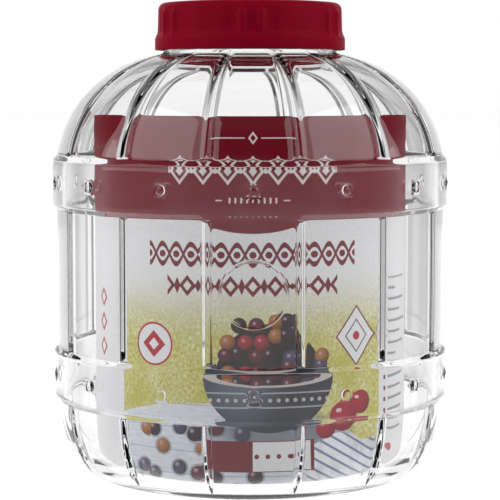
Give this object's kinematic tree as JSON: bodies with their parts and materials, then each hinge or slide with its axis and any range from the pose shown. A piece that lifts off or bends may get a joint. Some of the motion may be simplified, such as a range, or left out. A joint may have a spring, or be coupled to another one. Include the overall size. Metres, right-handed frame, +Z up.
{
  "type": "fermentation jar",
  "caption": "Barrel-shaped glass fermentation jar with moulded staves and hoops, a screw lid with a rubber bung, a curled card insert and a stored airlock.",
  "frame": {"origin": "centre of the jar's foot, on the surface it stands on", "axes": "+Z up along the jar's axis; the front, where the card shows its print, faces -Y"},
  "size_m": [0.2286, 0.231, 0.2744],
  "materials": {
    "clear_glass": "smooth moulded soda-lime glass",
    "printed_card": "printed card with a silky coating",
    "liner_foam": "soft white sealing foam",
    "raspberry_plastic": "satin moulded plastic",
    "bung_rubber": "matt moulded rubber",
    "clear_plastic": "clear blown plastic"
  },
  "bodies": {
    "jar": {"glass_jar": "clear_glass", "card_insert": "printed_card", "airlock_tube": "clear_plastic"},
    "liner": {"lid_liner": "liner_foam"},
    "lid": {"screw_lid": "raspberry_plastic"},
    "bung": {"airlock_bung": "bung_rubber"},
    "cap": {"airlock_cap": "raspberry_plastic"}
  },
  "joints": [
    {"name": "lid_lift", "type": "slide", "parent": "jar", "child": "liner", "axis": [0, 0, 1], "range_m": [0, 0.00776]},
    {"name": "lid_turn", "type": "hinge", "parent": "liner", "child": "lid", "pos_m": [0, 0, 0.27], "axis": [0, 0, 1], "range_deg": [0, 465]},
    {"name": "bung_pull", "type": "slide", "parent": "lid", "child": "bung", "axis": [0, 0, 1], "range_m": [0, 0.0125]},
    {"name": "cap_pull", "type": "slide", "parent": "jar", "child": "cap", "axis": [1, 0, 0], "range_m": [0, 0.009]}
  ],
  "couplings": [
    {"joint": "lid_lift", "follows": "lid_turn", "m_per_rad": 0.00095493}
  ]
}
